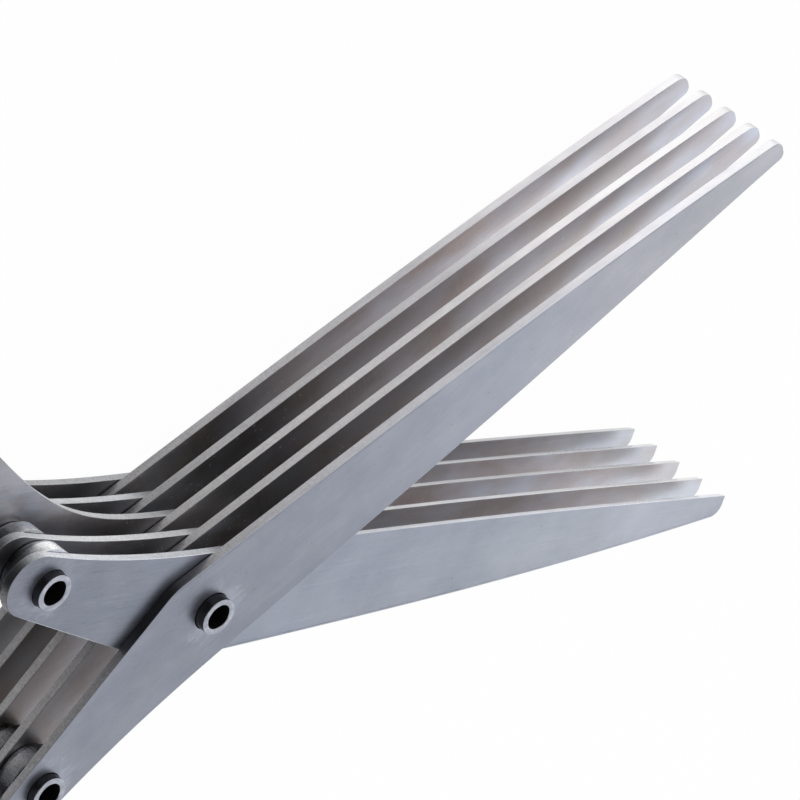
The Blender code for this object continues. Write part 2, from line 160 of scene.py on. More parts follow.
# How finely round shapes are drawn
EDGE_STEPS = 30
TANG_STEPS = 30
ARC_STEPS = 26
CORNER_STEPS = 14
OUTLINE_STEPS = 9
HOLE_STEPS = 56
LOOP_STEPS = 352
TURN_STEPS = 72
ROUND_STEPS = 5
RIM_STEPS = 1
HANDLE_ROUND_STEPS = 7
GRIP_ROUND_STEPS = 4
GROOVE_ROUND_STEPS = 3
RIM = 0.06 * MM
EDGE_NEAR = 2 * RIM
WELD_DISTANCE = 0.001 * MM
SHARP_ANGLE = 18 * DEGREE

# Sizes that follow from the ones above
PITCH = 2 * BLADE_THICKNESS + PAIR_GAP + STACK_GAP
STACK_DEPTH = PAIR_COUNT * PITCH - STACK_GAP
STACK_TOP = PIVOT_PROUD + STACK_DEPTH
MIDDLE_PAIR = PAIR_COUNT // 2
SHAFT_HOLE = RIVET_RADIUS + RIVET_CLEARANCE
TANG_RIVET = (-TANG_REACH * math.cos(TANG_ANGLE), TANG_REACH * math.sin(TANG_ANGLE))
HANDLE_INNER = HANDLE_MEETING_GAP / 2
TAIL_REACH = HANDLE_START + TAIL_DEPTH
TAIL_INNER = HANDLE_INNER + HANDLE_WIDTH * TAIL_INNER_SHARE
TAIL_OUTER = HANDLE_INNER + HANDLE_WIDTH * TAIL_OUTER_SHARE

# Slopes of a face's normal that tell flat faces, rims and walls apart
FLAT_SLOPE = 0.98
WALL_SLOPE = 0.3

# Colours along the blade: reach in millimetres, then the colour or grey level there. The stops paint light
# and shade: the faces are darker near the pivot, where the blades shade one another, and lighter towards the
# tips, where light reaches them.
OUTER_STEEL_SHADED = {
    "a": ((-34, (0.338, 0.35, 0.396)), (-17, (0.318, 0.329, 0.372)), (32, (0.32, 0.331, 0.374)),
          (47, (0.335, 0.346, 0.388)), (62, (0.352, 0.35, 0.378)), (76, (0.358, 0.353, 0.372)),
          (88, (0.395, 0.388, 0.41))),
    "b": ((-34, (0.272, 0.278, 0.317)), (-17, (0.296, 0.31, 0.356)), (-4, (0.325, 0.34, 0.39)),
          (18, (0.353, 0.37, 0.424)), (47, (0.357, 0.375, 0.414)), (62, (0.385, 0.399, 0.436)),
          (76, (0.399, 0.406, 0.455)), (88, (0.37, 0.382, 0.42))),
}
# Painted light and shade on the faces inside the stack: stretches are lightened or darkened to set how much
# shade lies between the blades.
INNER_STEEL_SHADED = {
    "a": ((-10, (0.43, 0.41, 0.405)), (2, (0.7, 0.69, 0.69)), (10, (0.58, 0.57, 0.57)),
          (18, (0.38, 0.366, 0.366)), (30, (0.53, 0.506, 0.503)), (46, (0.572, 0.544, 0.544)),
          (58, (0.66, 0.632, 0.635)), (76, (0.505, 0.487, 0.5)), (88, (0.5, 0.49, 0.52))),
    "b": ((-34, (0.46, 0.46, 0.48)), (-26, (0.56, 0.555, 0.575)), (-18, (0.9, 0.89, 0.92)),
          (-8, (0.47, 0.455, 0.455)), (40, (0.61, 0.59, 0.594)), (66, (0.66, 0.643, 0.65)),
          (77, (0.7, 0.682, 0.685)), (84, (0.6, 0.585, 0.59)), (90, (0.53, 0.515, 0.52))),
}
# Painted shade and highlight on the walls: half A's wall beside the heel is painted near black as a shadow,
# the end of half B's tang dark as shade, and the walls painted near white towards the tips as a highlight.
EDGE_STEEL_SHADED = {
    "a": ((-32, 0.27), (-14, 0.25), (-9, 0.07), (-4, 0.07), (3, 0.33), (14, 0.45), (32, 0.56),
          (48, 0.63), (60, 0.83), (72, 0.97), (80, 1.0), (89, 1.0), (90.2, 0.5)),
    "b": ((-34, 0.12), (-31, 0.22), (-28, 0.78), (-5, 0.8), (10, 0.7), (45, 0.73), (60, 0.78),
          (76, 0.86), (90, 0.7)),
}

# Levels from the front blade to the rear one, and the reaches where they blend or even out. The levels paint
# light and shade: each blade's or spacer's copy of the steel is darkened or lightened by its place in the
# stack for the shade that falls on it.
TANG_SHADE_LEVELS = {"a": (1.0, 1.26, 1.25, 0.36, 0.95), "b": (1.0, 0.86, 0.98, 0.9, 0.9)}
INNER_SHADE_LEVELS = {"a": (1.0, 0.83, 1.12, 0.86, 1.4), "b": (1.0, 1.0, 1.18, 0.98, 0.77)}
WALL_SHADE_LEVELS = {"a": (0.96, 1.0, 1.03, 0.87, 0.84), "b": (1.0, 0.96, 0.76, 0.77, 0.56)}
WALL_WARMTH = (0.0, 1.0, 1.0, 0.7, 0.6)
SPACER_SHADE_LEVELS = (1.0, 0.6, 0.6, 0.6, 0.6)
PIVOT_BLEND = (-8 * MM, 2 * MM)
EVEN_REACH = {"a": (54 * MM, 84 * MM), "b": (78 * MM, 92 * MM)}
EVEN_WALL_REACH = {"a": (78 * MM, 88 * MM), "b": (80 * MM, 96 * MM)}

# Tints laid over the colours
WHITE = (1.0, 1.0, 1.0)
WARM_TINT = (1.0, 0.985, 0.95, 1.0)
COOL_CLOUD = (0.915, 0.925, 0.94, 1.0)
WARM_CLOUD = (1.085, 1.075, 1.06, 1.0)
WARM_STAIN = (0.9, 0.83, 0.79, 1.0)
COOL_STAIN = (1.06, 1.12, 1.2, 1.0)
STAIN_SHARE = 0.75
EDGE_TINT = {"a": (1.0, 0.99, 1.04, 1.0), "b": (0.98, 1.0, 1.05, 1.0)}
# Painted highlight on the rims of the walls
RIM_HIGHLIGHT = (1.12, 1.12, 1.12)
HALO_LEVEL = 1.32
# Painted shade on the side of each spacer towards the handle
SPACER_SHADE_COLOUR = (0.05, 0.052, 0.062, 1.0)

# Soft noises: cell in millimetres along, across and through the blade, detail and roughness
NOISES = {
    "mottle": ((6, 6, 1), 5.0, 0.6),
    "cloud": ((9, 6, 1), 4.0, 0.6),
    "streak": ((14, 0.35, 1), 4.0, 0.7),
    "scratch": ((2.6, 0.16, 1), 3.0, 0.7),
    "tooth": ((0.2, 0.2, 0.2), 2.0, 0.5),
    "speck": ((0.42, 0.42, 0.42), 0.0, 0.5),
    "smudge": ((2.2, 0.9, 1), 5.0, 0.7),
    "stain": ((10, 5, 1.6), 2.0, 0.5),
    "chatter": ((0.42, 5, 1.6), 1.0, 0.5),
    "line_break": ((3, 3, 3), 4.0, 0.5),
    "halo_patch": ((3.5, 3.5, 3.5), 3.0, 0.5),
    "halo_stroke": ((1.1, 0.5, 1), 4.0, 0.7),
    "edge_grain": ((0.2, 0.2, 0.32), 2.0, 0.6),
    "edge_patch": ((2.8, 2.8, 1), 4.0, 0.5),
    "edge_streak": ((8, 1.5, 0.16), 3.0, 0.6),
    "blast_grain": ((0.28, 0.28, 0.28), 3.0, 0.65),
    "blast_stain": ((1.6, 1.6, 1.6), 4.0, 0.5),
    "turned_ring": ((3.3, 3.3, 0.11), 3.0, 0.5),
    "turned_stain": ((0.9, 0.9, 0.9), 4.0, 0.65),
    "rubbing": ((7.5, 7.5, 7.5), 4.0, 0.5),
    "plastic_grain": ((0.55, 0.55, 0.55), 3.0, 0.5),
    "rubber_grain": ((0.38, 0.38, 0.38), 3.0, 0.5),
}

# Marks: where one starts and where it is full, its strength, and its level of the plain colour
STRIP_WIDTH = 0.28 * MM
LINE_WIDTH = 0.09 * MM
MARKS = {
    "pale_streak": (0.56, 0.75, 0.4, 1.35),
    "dark_streak": (0.42, 0.25, 0.4, 0.75),
    "pale_scratch": (0.58, 0.72, 0.6, 1.3),
    "dark_scratch": (0.41, 0.29, 0.8, 0.72),
    "dark_tooth": (0.6, 0.8, 0.3, 0.65),
    "pale_smudge": (0.66, 0.8, 0.6, 1.8),
    "dark_chatter": (0.45, 0.6, 0.4, 0.75),
    "pale_dot": (0.79, 0.84, 1.0, 3.0),
    "dark_speck": (0.82, 0.86, 0.6, 0.55),
    # Along the spine, a painted highlight strip and the painted shade line at its edge
    "painted_highlight_strip": (STRIP_WIDTH, STRIP_WIDTH - LINE_WIDTH, 0.7, 1.2),
    "painted_shade_line": (LINE_WIDTH, LINE_WIDTH / 2, 0.8, 0.6),
    "pale_edge_streak": (0.55, 0.75, 0.6, 1.25),
    "dull_edge_streak": (0.45, 0.25, 0.6, 0.72),
    "dark_edge_grain": (0.5, 0.7, 1.0, 0.62),
    "pale_edge_grain": (0.46, 0.3, 1.0, 1.35),
    "blast_pit": (0.5, 0.68, 0.7, 0.45),
    "turned_groove": (0.55, 0.75, 0.4, 0.65),
    "moulded_speck": (0.6, 0.75, 0.3, 1.5),
}

# Levels between which a noise passes from none to all
NOISE_SPAN = (0.3, 0.7)
CLOUD_SPAN = (0.32, 0.68)
STAIN_SPAN = (0.38, 0.62)
BREAK_SPAN = (0.4, 0.55)
HALO_SPAN = (0.42, 0.6)
CHATTER_SPAN = (0.46, 0.36)
RUBBING_SPAN = (0.35, 0.7)
SHADED_SIDE_SPAN = (0.0, 0.55)

# Where marks lie along the blade, and how strong they are there
WORN_REACH = {"a": (-60 * MM, -30 * MM), "b": (-14 * MM, 4 * MM)}
LEAST_WEAR = 0.3
CHATTER_REACH = (48 * MM, 62 * MM)
DOT_CENTRE = 8 * MM
DOT_REACH = (10 * MM, 26 * MM)
DOT_SHARE = 0.8
HALO_REACH = (2.4 * MM, 5.0 * MM)
HALO_STROKE = 1.4 * MM
ROUGH_EDGE_REACH = (45 * MM, 76 * MM)
GRAIN_REACH = (-4 * MM, 60 * MM)
GRAIN_SHARE = 0.45

# Spreads of level and of roughness
MOTTLE_LEVELS = (0.93, 1.07)
EDGE_LEVELS = (0.94, 1.06)
BLAST_LEVELS = (0.85, 1.15)
TURNED_LEVELS = (0.72, 1.26)
MOULDED_LEVELS = (0.85, 1.2)
SHADED_SIDE_SHARE = 0.85
SHADED_SIDE_STRAY = 0.15
FACE_ROUGHNESS = (0.34, 0.41)
STREAK_ROUGHNESS = (-0.03, 0.04)
EDGE_ROUGHNESS = (0.36, 0.5)
SMOOTH_EDGE_SHARE = 0.6
BLAST_ROUGHNESS = (0.7, 1.4)
TURNED_ROUGHNESS = (0.8, 1.25)
MOULDED_ROUGHNESS = (0.85, 1.1)

# Relief: strength and depth
FACE_RELIEF = (0.3, 0.02 * MM)
TOOTH_RELIEF_SHARE = 0.5
EDGE_RELIEF_RANGE = (0.03, 0.4)
EDGE_RELIEF_DEPTH = 0.04 * MM
BLAST_RELIEF = (0.8, 0.06 * MM)
TURNED_RELIEF = (0.3, 0.02 * MM)
MOULDED_RELIEF = (0.5, 0.08 * MM)

# Names, colours and roughness of the small pieces' finishes
RIVET_FINISHES = (
    ("rivet_end", (0.48, 0.49, 0.53), 0.34),
    # The sides and the bore are painted near black for the shade on them
    ("rivet_side_painted_shade", (0.045, 0.045, 0.05), 0.36),
    ("rivet_bore_painted_shade", (0.02, 0.02, 0.018), 0.7),
)
WASHER_FINISH = ("washer_steel", (0.33, 0.34, 0.36), 0.38)
# Half A's spacers are painted dark for the shade under the blades and half B's painted bright for their
# highlight, shaded and lit copies of one steel
SPACER_STEEL = {"a": ((0.3, 0.3, 0.31), 0.3), "b": ((0.97, 0.97, 0.98), 0.17)}
PLASTIC_FINISH = ("handle_plastic", (0.045, 0.05, 0.055), 0.45, "plastic_grain")
RUBBER_FINISH = ("grip_rubber", (0.16, 0.36, 0.08), 0.62, "rubber_grain")

# Floor and sky
FLOOR_HALF = 2.0
FLOOR_COLOUR = (0.92, 0.92, 0.93)
FLOOR_ROUGHNESS = 0.9
FLOOR_GLOW = 0.98
HORIZON_LIGHT = WHITE
OVERHEAD_LIGHT = (0.74, 0.77, 0.82)
SKY_RISE = (0.05, 0.5)
DIM_SIDE = Vector((-0.5623, 0.6206, 0.5465))
DIM_INNER = 20 * DEGREE
DIM_OUTER = 48 * DEGREE
DIM_LEVEL = 0.05

# Lamps: name, place, the point it shines at, size, power and colour
LAMPS = (
    ("tip_lamp", (0.28, -0.16, 0.19), (0.09, 0, 0.02), 0.16, 0.05, (0.95, 0.98, 1.0)),
    ("top_lamp", (-0.1, 0.2, 0.9), (0, 0, 0.01), 0.4, 1.0, (1.0, 0.98, 0.95)),
)


# Camera

def add_object(name, data):
    """A new object in the scene, with its mesh, curve, light or camera."""
    obj = bpy.data.objects.new(name, data)
    bpy.context.scene.collection.objects.link(obj)
    return obj


def add_camera():
    data = bpy.data.cameras.new("camera")
    data.lens = CAMERA_LENS
    data.sensor_width = CAMERA_SENSOR
    data.clip_start = CAMERA_NEAR
    data.clip_end = CAMERA_FAR
    camera = add_object("camera", data)
    camera.location = CAMERA_PLACE
    camera.rotation_euler = [angle * DEGREE for angle in CAMERA_TURN]
    bpy.context.scene.camera = camera


# Outlines

def along(start, end, share):
    return (start[0] + (end[0] - start[0]) * share, start[1] + (end[1] - start[1]) * share)


def bezier(start, near, far, end, steps):
    """Points on a cubic curve, from its start up to but without its end."""
    points = []
    for step in range(steps):
        t = step / steps
        a, b, c = along(start, near, t), along(near, far, t), along(far, end, t)
        points.append(along(along(a, b, t), along(b, c, t), t))
    return points


def arc(centre, radius, start_angle, end_angle, steps):
    points = []
    for step in range(steps + 1):
        angle = start_angle + (end_angle - start_angle) * step / steps
        points.append((centre[0] + radius * math.cos(angle), centre[1] + radius * math.sin(angle)))
    return points


def circle(centre, radius, steps):
    return arc(centre, radius, 0, 2 * math.pi, steps)[:-1]


def rounded_corner(before, corner, after, radius, steps):
    """Points of the arc that rounds one corner of an outline, no longer than its two sides allow."""
    back = Vector(before) - Vector(corner)
    ahead = Vector(after) - Vector(corner)
    half_angle = back.angle(ahead) / 2
    cut = min(radius / math.tan(half_angle), back.length / 2, ahead.length / 2)
    reach = cut / math.cos(half_angle)
    centre = Vector(corner) + (back.normalized() + ahead.normalized()).normalized() * reach
    first = Vector(corner) + back.normalized() * cut - centre
    last = Vector(corner) + ahead.normalized() * cut - centre
    turn = first.angle_signed(last)
    start_angle = math.atan2(first.y, first.x)
    return arc(centre, first.length, start_angle, start_angle - turn, steps)


def catmull_rom(points, steps):
    """A smooth open line through the points."""
    smooth = []
    padded = [points[0], *points, points[-1]]
    for index in range(1, len(padded) - 2):
        p0, p1, p2, p3 = (Vector(padded[index + shift]) for shift in (-1, 0, 1, 2))
        for step in range(steps):
            t = step / steps
            blend = (2 * p1 + (p2 - p0) * t + (2 * p0 - 5 * p1 + 4 * p2 - p3) * t ** 2
                     + (3 * p1 - p0 - 3 * p2 + p3) * t ** 3) / 2
            smooth.append(tuple(blend))
    smooth.append(tuple(points[-1]))
    return smooth


def widening(u, full):
    """Extra width of a blade, which grows from nothing at the pivot to its full size further out."""
    return full * min(max(u / WIDENING_REACH, 0), 1)


def edge_height(u, half):
    """Distance of the cutting edge from the blade's axis."""
    share = u / BLADE_REACH
    extra = widening(u, EDGE_WIDENING_A) if half == "a" else 0
    return EDGE_OFFSET * (1 - EDGE_FALL_SHARE * share - EDGE_BELLY_SHARE * share ** 2) + extra


def spine_depth(u, half):
    """Distance of the spine from the blade's axis."""
    share = u / BLADE_REACH
    extra = widening(u, SPINE_WIDENING_B) if half == "b" else 0
    return SPINE_OFFSET * (1 - SPINE_FALL_SHARE * share - SPINE_BELLY_SHARE * share ** 3) + extra


def cutting_edge_points(half):
    """From the tip, whose point is rounded on half A, back to just ahead of the pivot."""
    reaches = [BLADE_REACH * (1 - step / EDGE_STEPS) for step in range(EDGE_STEPS)]
    edge = [(u, edge_height(u, half)) for u in reaches]
    if half == "b":
        return edge
    below = (BLADE_REACH, -spine_depth(BLADE_REACH, half))
    return rounded_corner(below, edge[0], edge[1], POINT_ROUND_A, CORNER_STEPS) + edge[1:]


def spine_and_tip_points(half):
    """From just ahead of the pivot along the spine and round the tip's lower corner."""
    tip_width = edge_height(BLADE_REACH, half) + spine_depth(BLADE_REACH, half)
    reaches = [BLADE_REACH * step / EDGE_STEPS for step in range(EDGE_STEPS)]
    spine = [(u, -spine_depth(u, half)) for u in reaches]
    corner = (BLADE_REACH, -spine_depth(BLADE_REACH, half))
    beyond = along(corner, (BLADE_REACH, edge_height(BLADE_REACH, half)), 2)
    tip = rounded_corner(spine[-1], corner, beyond, tip_width * TIP_ROUND_SHARE, CORNER_STEPS)
    return spine + tip


def heel_corner(half):
    """Where the tang's inner side would meet the spine, just behind the pivot."""
    return (-HEEL_REACH, -spine_depth(-HEEL_REACH, half))


def blade_outline(half, tang):
    """A whole blade round its tang, with the turn from the tang into the spine rounded."""
    spine_root = (0, -spine_depth(0, half))
    heel = rounded_corner(tang[-1], heel_corner(half), spine_root, HEEL_RADIUS, CORNER_STEPS)
    return cutting_edge_points(half) + tang + heel + spine_and_tip_points(half)


def root_slope():
    """Unit direction of the cutting edge where it passes the pivot, towards the tang."""
    return Vector((-BLADE_REACH, EDGE_OFFSET * EDGE_FALL_SHARE)).normalized()


def short_blade_outline(half):
    """A blade whose tang ends in a round just past its rivet."""
    root = Vector((0, edge_height(0, half)))
    tang_direction = Vector((-math.cos(TANG_ANGLE), math.sin(TANG_ANGLE)))
    centre = tang_direction * (TANG_REACH + TANG_OVERHANG)
    top_angle = math.pi / 2 - TANG_ANGLE
    top = centre + TANG_RADIUS * Vector((math.cos(top_angle), math.sin(top_angle)))
    pull = (top - root).length * TANG_HANDLE_SHARE
    upper = bezier(root, root + root_slope() * pull, top - tang_direction * pull, top, TANG_STEPS)
    to_heel = Vector(heel_corner(half)) - centre
    swing = math.acos(TANG_RADIUS / to_heel.length)
    lower_angle = 2 * math.pi + math.atan2(to_heel.y, to_heel.x) - swing
    end = arc(centre, TANG_RADIUS, top_angle, lower_angle, ARC_STEPS)
    return blade_outline(half, upper + end)


def long_blade_outline(half):
    """The middle blade, whose tang flares outwards and runs on into the handle."""
    root = Vector((0, edge_height(0, half)))
    flare_end = Vector((-FLARE_REACH, FLARE_HEIGHT))
    flare_direction = Vector((-math.cos(FLARE_ANGLE), math.sin(FLARE_ANGLE)))
    near = root + root_slope() * FLARE_REACH * FLARE_NEAR_SHARE
    far = flare_end - flare_direction * FLARE_REACH * FLARE_FAR_SHARE
    upper = bezier(root, near, far, flare_end, TANG_STEPS)
    shoulder_reach = HANDLE_START + TAIL_DEPTH * SHOULDER_DEPTH_SHARE
    corners = (
        tuple(flare_end), (-shoulder_reach, TAIL_OUTER), (-TAIL_REACH, TAIL_OUTER),
        (-TAIL_REACH, TAIL_INNER), (-BEND_REACH, BEND_HEIGHT), heel_corner(half),
    )
    radii = (TAIL_CORNER, TAIL_CORNER, TAIL_CORNER, BEND_RADIUS)
    tail = [tuple(flare_end)]
    for index, radius in enumerate(radii):
        tail += rounded_corner(corners[index], corners[index + 1], corners[index + 2], radius, CORNER_STEPS)
    return blade_outline(half, upper + tail)


def handle_point(shares):
    """A place on the handle from its shares of the length and the width."""
    length_share, width_share = shares
    return (-HANDLE_START - HANDLE_LENGTH * length_share, HANDLE_INNER + HANDLE_WIDTH * width_share)


def handle_outline():
    """The bow round the finger loop, closed in front by the mouth that the tang runs into."""
    bow = catmull_rom([handle_point(shares) for shares in BOW_SHARES], OUTLINE_STEPS)
    outer, middle, inner = (handle_point(shares) for shares in MOUTH_SHARES)
    outer_corner = rounded_corner(bow[-1], outer, middle, HANDLE_CORNER, CORNER_STEPS)
    inner_corner = rounded_corner(middle, inner, bow[0], HANDLE_CORNER, CORNER_STEPS)
    return bow + outer_corner + [middle] + inner_corner


def loop_outline(inset):
    """The finger loop, an oval with slightly flattened sides, drawn in by an inset."""
    centre_u, centre_w = handle_point(LOOP_CENTRE_SHARES)
    half_length = HANDLE_LENGTH * LOOP_HALF_SHARES[0] - inset
    half_width = HANDLE_WIDTH * LOOP_HALF_SHARES[1] - inset
    points = []
    for step in range(LOOP_STEPS):
        angle = 2 * math.pi * step / LOOP_STEPS
        c, s = math.cos(angle), math.sin(angle)
        stretch_u = math.copysign(abs(c) ** (2 / LOOP_SQUARENESS), c)
        stretch_w = math.copysign(abs(s) ** (2 / LOOP_SQUARENESS), s)
        points.append((centre_u + half_length * stretch_u, centre_w + half_width * stretch_w))
    return points


# Solid shapes

def clean_up(mesh):
    """Weld points that coincide and turn all faces outwards."""
    shape = bmesh.new()
    shape.from_mesh(mesh)
    bmesh.ops.remove_doubles(shape, verts=shape.verts, dist=WELD_DISTANCE)
    bmesh.ops.recalc_face_normals(shape, faces=shape.faces)
    shape.to_mesh(mesh)
    shape.free()


def drawn_mesh(obj):
    """The mesh of an object with its bevel or its modifiers."""
    bpy.context.view_layer.update()
    evaluated = obj.evaluated_get(bpy.context.evaluated_depsgraph_get())
    return bpy.data.meshes.new_from_object(evaluated)


def plate_mesh(name, outlines, thickness, side, rounding, rounding_steps):
    """A flat plate between its outlines, the first one outside and the others as holes."""
    curve = bpy.data.curves.new(name, "CURVE")
    curve.dimensions = "2D"
    curve.fill_mode = "BOTH"
    curve.extrude = thickness / 2 - rounding
    curve.bevel_depth = rounding
    curve.bevel_resolution = rounding_steps
    curve.offset = -rounding
    for outline in outlines:
        spline = curve.splines.new("POLY")
        spline.points.add(len(outline) - 1)
        for point, (u, w) in zip(spline.points, outline):
            point.co = (u, w * side, 0, 1)
        spline.use_cyclic_u = True
    drawn = add_object(name, curve)
    mesh = drawn_mesh(drawn)
    bpy.data.objects.remove(drawn, do_unlink=True)
    clean_up(mesh)
    return mesh


def grind_share(u, half):
    """Share of the full grinding, which grows in past the pivot and fades before a rounded point."""
    growth = (u - GRIND_START) / GRIND_RUN
    left = (BLADE_REACH - 2 * POINT_ROUND_A - u) / GRIND_FADE if half == "a" else 1
    return max(min(growth, left, 1), 0)


def grind_edge(mesh, half, ground_face):
    """Slope the cutting edge back from the face that slides on the other blade."""
    side = side_of(half)
    drop = GRIND_DROP_A if half == "a" else GRIND_DROP_B
    for vertex in mesh.vertices:
        u, w, z = vertex.co.x, vertex.co.y * side, vertex.co.z
        if abs(w - edge_height(u, half)) < EDGE_NEAR:
            through = z * ground_face / BLADE_THICKNESS + 0.5
            vertex.co.y -= side * drop * grind_share(u, half) * through


def paint_blade(mesh, index):
    """Finishes of a blade: 0 outer faces of the stack, 1 faces inside it, 2 upright walls, 3 rims."""
    outward = {0: 1, PAIR_COUNT - 1: -1}.get(index, 0)
    for polygon in mesh.polygons:
        rise = polygon.normal.z
        if abs(rise) > FLAT_SLOPE:
            polygon.material_index = 0 if polygon.center.z * outward > 0 else 1
        else:
            polygon.material_index = 2 if abs(rise) < WALL_SLOPE else 3


def turn_of(half):
    return HALF_OPENING if half == "a" else -HALF_OPENING


def side_of(half):
    """Side of the blade frame that the cutting edge is on."""
    return -1 if half == "a" else 1


def tang_rivet_centre(half):
    return (TANG_RIVET[0], TANG_RIVET[1] * side_of(half))


def place(name, mesh, half, location, slot, *materials):
    """Put a finished mesh, drawn in its half's blade frame, in place of the CAD node of that name."""
    for material in materials:
        mesh.materials.append(material)
    mesh.transform(Matrix.Translation((PIVOT_X, 0, 0)) @ Matrix.Rotation(turn_of(half), 4, "Z")
                   @ Matrix.Translation(location))
    obj = add_object(name + "_finish", mesh)
    mesh.shade_smooth()
    mesh.set_sharp_from_angle(angle=SHARP_ANGLE)
    body = "half_" + half
    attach(obj, body)
    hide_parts(name)


def turned_mesh(name, profile):
    """A round piece from its closed profile of radius and height."""
    mesh = bpy.data.meshes.new(name)
    vertices, faces = [], []
    count = len(profile)
    for step in range(TURN_STEPS):
        angle = 2 * math.pi * step / TURN_STEPS
        c, s = math.cos(angle), math.sin(angle)
        vertices += [(radius * c, radius * s, height) for radius, height in profile]
        here, onward = step * count, (step + 1) % TURN_STEPS * count
        for index in range(count):
            after = (index + 1) % count
            faces.append((here + index, here + after, onward + after, onward + index))
    mesh.from_pydata(vertices, [], faces)
    clean_up(mesh)
    return mesh


def soften(profile, rounds):
    """A closed profile with its corners rounded, one radius for each corner."""
    softened = []
    for index, (corner, radius) in enumerate(zip(profile, rounds)):
        before, after = profile[index - 1], profile[(index + 1) % len(profile)]
        if radius:
            softened += rounded_corner(before, corner, after, radius, ROUND_STEPS)
        else:
            softened.append(corner)
    return softened


# Materials

def link(tree, value, socket):
    """Feed a socket from another socket or with a plain value."""
    if isinstance(value, bpy.types.NodeSocket):
        tree.links.new(value, socket)
    else:
        socket.default_value = value


def node(tree, kind, inputs, output=0, **settings):
    """Add a shader node, feed its inputs by name or place, and return one of its outputs."""
    made = tree.nodes.new("ShaderNode" + kind)
    for name, value in settings.items():
        setattr(made, name, value)
    for key, value in inputs.items():
        link(tree, value, made.inputs[key])
    return made.outputs[output]


def math_node(tree, operation, first, second):
    return node(tree, "Math", {0: first, 1: second}, operation=operation)


def product(tree, first, second):
    return math_node(tree, "MULTIPLY", first, second)


def vector_node(tree, operation, inputs, output=0):
    return node(tree, "VectorMath", inputs, output=output, operation=operation)


def blade_place(tree, turn, cell=(1.0, 1.0, 1.0)):
    """Place on the piece along the blade, across it and through it, counted in cells of a size."""
    surface = node(tree, "TexCoord", {}, output="Object")
    return node(tree, "Mapping", {
        "Vector": surface, "Location": (PIVOT_X, 0, 0), "Rotation": (0, 0, turn), "Scale": cell,
    }, vector_type="TEXTURE")


def noise(tree, turn, name):
    """One of the soft noises, between 0 and 1, laid along the blade."""
    cell_mm, detail, roughness = NOISES[name]
    spot = blade_place(tree, turn, [size * MM for size in cell_mm])
    inputs = {"Vector": spot, "Scale": 1.0, "Detail": detail, "Roughness": roughness}
    return node(tree, "TexNoise", inputs)


def remap(tree, value, low, high, new_low, new_high):
    return node(tree, "MapRange", {0: value, 1: low, 2: high, 3: new_low, 4: new_high}, clamp=True)


def mix_colour(tree, factor, first, second, blend="MIX"):
    made = tree.nodes.new("ShaderNodeMix")
    made.data_type = "RGBA"
    made.blend_type = blend
    link(tree, factor, made.inputs[0])
    link(tree, first, made.inputs[6])
    link(tree, second, made.inputs[7])
    return made.outputs[2]


def tinted(tree, base, tint):
    return mix_colour(tree, 1.0, base, tint, blend="MULTIPLY")


def rgba(colour, level=1.0):
    return (colour[0] * level, colour[1] * level, colour[2] * level, 1.0)


def grey(level):
    return (level, level, level, 1.0)


def mark(tree, tint, source, name, share=1.0, colour=WHITE):
    """Lay one kind of mark over a tint, as strong as its source and a share allow."""
    start, full, strength, level = MARKS[name]
    amount = product(tree, remap(tree, source, start, full, 0, strength), share)
    return mix_colour(tree, amount, tint, rgba(colour, level))


def spread(tree, source, span, colour, levels):
    """A colour between two levels of itself, varied by a noise."""
    low, high = levels
    return mix_colour(tree, remap(tree, source, *span, 0, 1), rgba(colour, low), rgba(colour, high))


def varied(tree, source, roughness, shares):
    """Roughness between two shares of itself, varied by a noise."""
    return remap(tree, source, *NOISE_SPAN, roughness * shares[0], roughness * shares[1])


def new_material(name):
    material = bpy.data.materials.new(name)
    material.use_nodes = True
    return material, material.node_tree, material.node_tree.nodes["Principled BSDF"]


def finish_shader(tree, shader, colour, roughness, height, strength, depth, metallic=1.0):
    """Feed a shader its colour, roughness and fine relief."""
    link(tree, colour, shader.inputs["Base Color"])
    link(tree, roughness, shader.inputs["Roughness"])
    shader.inputs["Metallic"].default_value = metallic
    bump = node(tree, "Bump", {"Height": height, "Strength": strength, "Distance": depth})
    link(tree, bump, shader.inputs["Normal"])


def reach_of(tree, turn):
    """Distance along the blade from the pivot."""
    return node(tree, "SeparateXYZ", {0: blade_place(tree, turn)})


def colour_ramp(tree, share, stops, interpolation="LINEAR"):
    """Colour read off a row of stops of share and colour."""
    ramp = tree.nodes.new("ShaderNodeValToRGB")
    ramp.color_ramp.interpolation = interpolation
    link(tree, share, ramp.inputs[0])
    while len(ramp.color_ramp.elements) < len(stops):
        ramp.color_ramp.elements.new(1.0)
    for element, (place_share, colour) in zip(ramp.color_ramp.elements, stops):
        element.position = place_share
        element.color = colour
    return ramp.outputs[0]


def reach_ramp(tree, turn, stops):
    """Colour that changes along the blade, from stops of reach in millimetres and colour."""
    first, last = stops[0][0] * MM, stops[-1][0] * MM
    share = remap(tree, reach_of(tree, turn), first, last, 0, 1)
    shares = [(place_mm * MM - first) / (last - first) for place_mm, _ in stops]
    colours = [rgba(colour) if isinstance(colour, tuple) else grey(colour) for _, colour in stops]
    return colour_ramp(tree, share, list(zip(shares, colours)))


def stack_level(tree, turn, levels):
    """Grey level of a blade by its place in the stack, the front one first."""
    height = node(tree, "SeparateXYZ", {0: blade_place(tree, turn)}, output=2)
    first = STACK_TOP + SEAT_GAP
    share = remap(tree, height, first, first - PAIR_COUNT * PITCH, 0, 1)
    stops = [(index / PAIR_COUNT, grey(level)) for index, level in enumerate(levels)]
    return colour_ramp(tree, share, stops, interpolation="CONSTANT")


def evened(tree, turn, level, reaches):
    """A level that fades to plain white between two reaches."""
    return mix_colour(tree, remap(tree, reach_of(tree, turn), *reaches, 0, 1), level, grey(1.0))


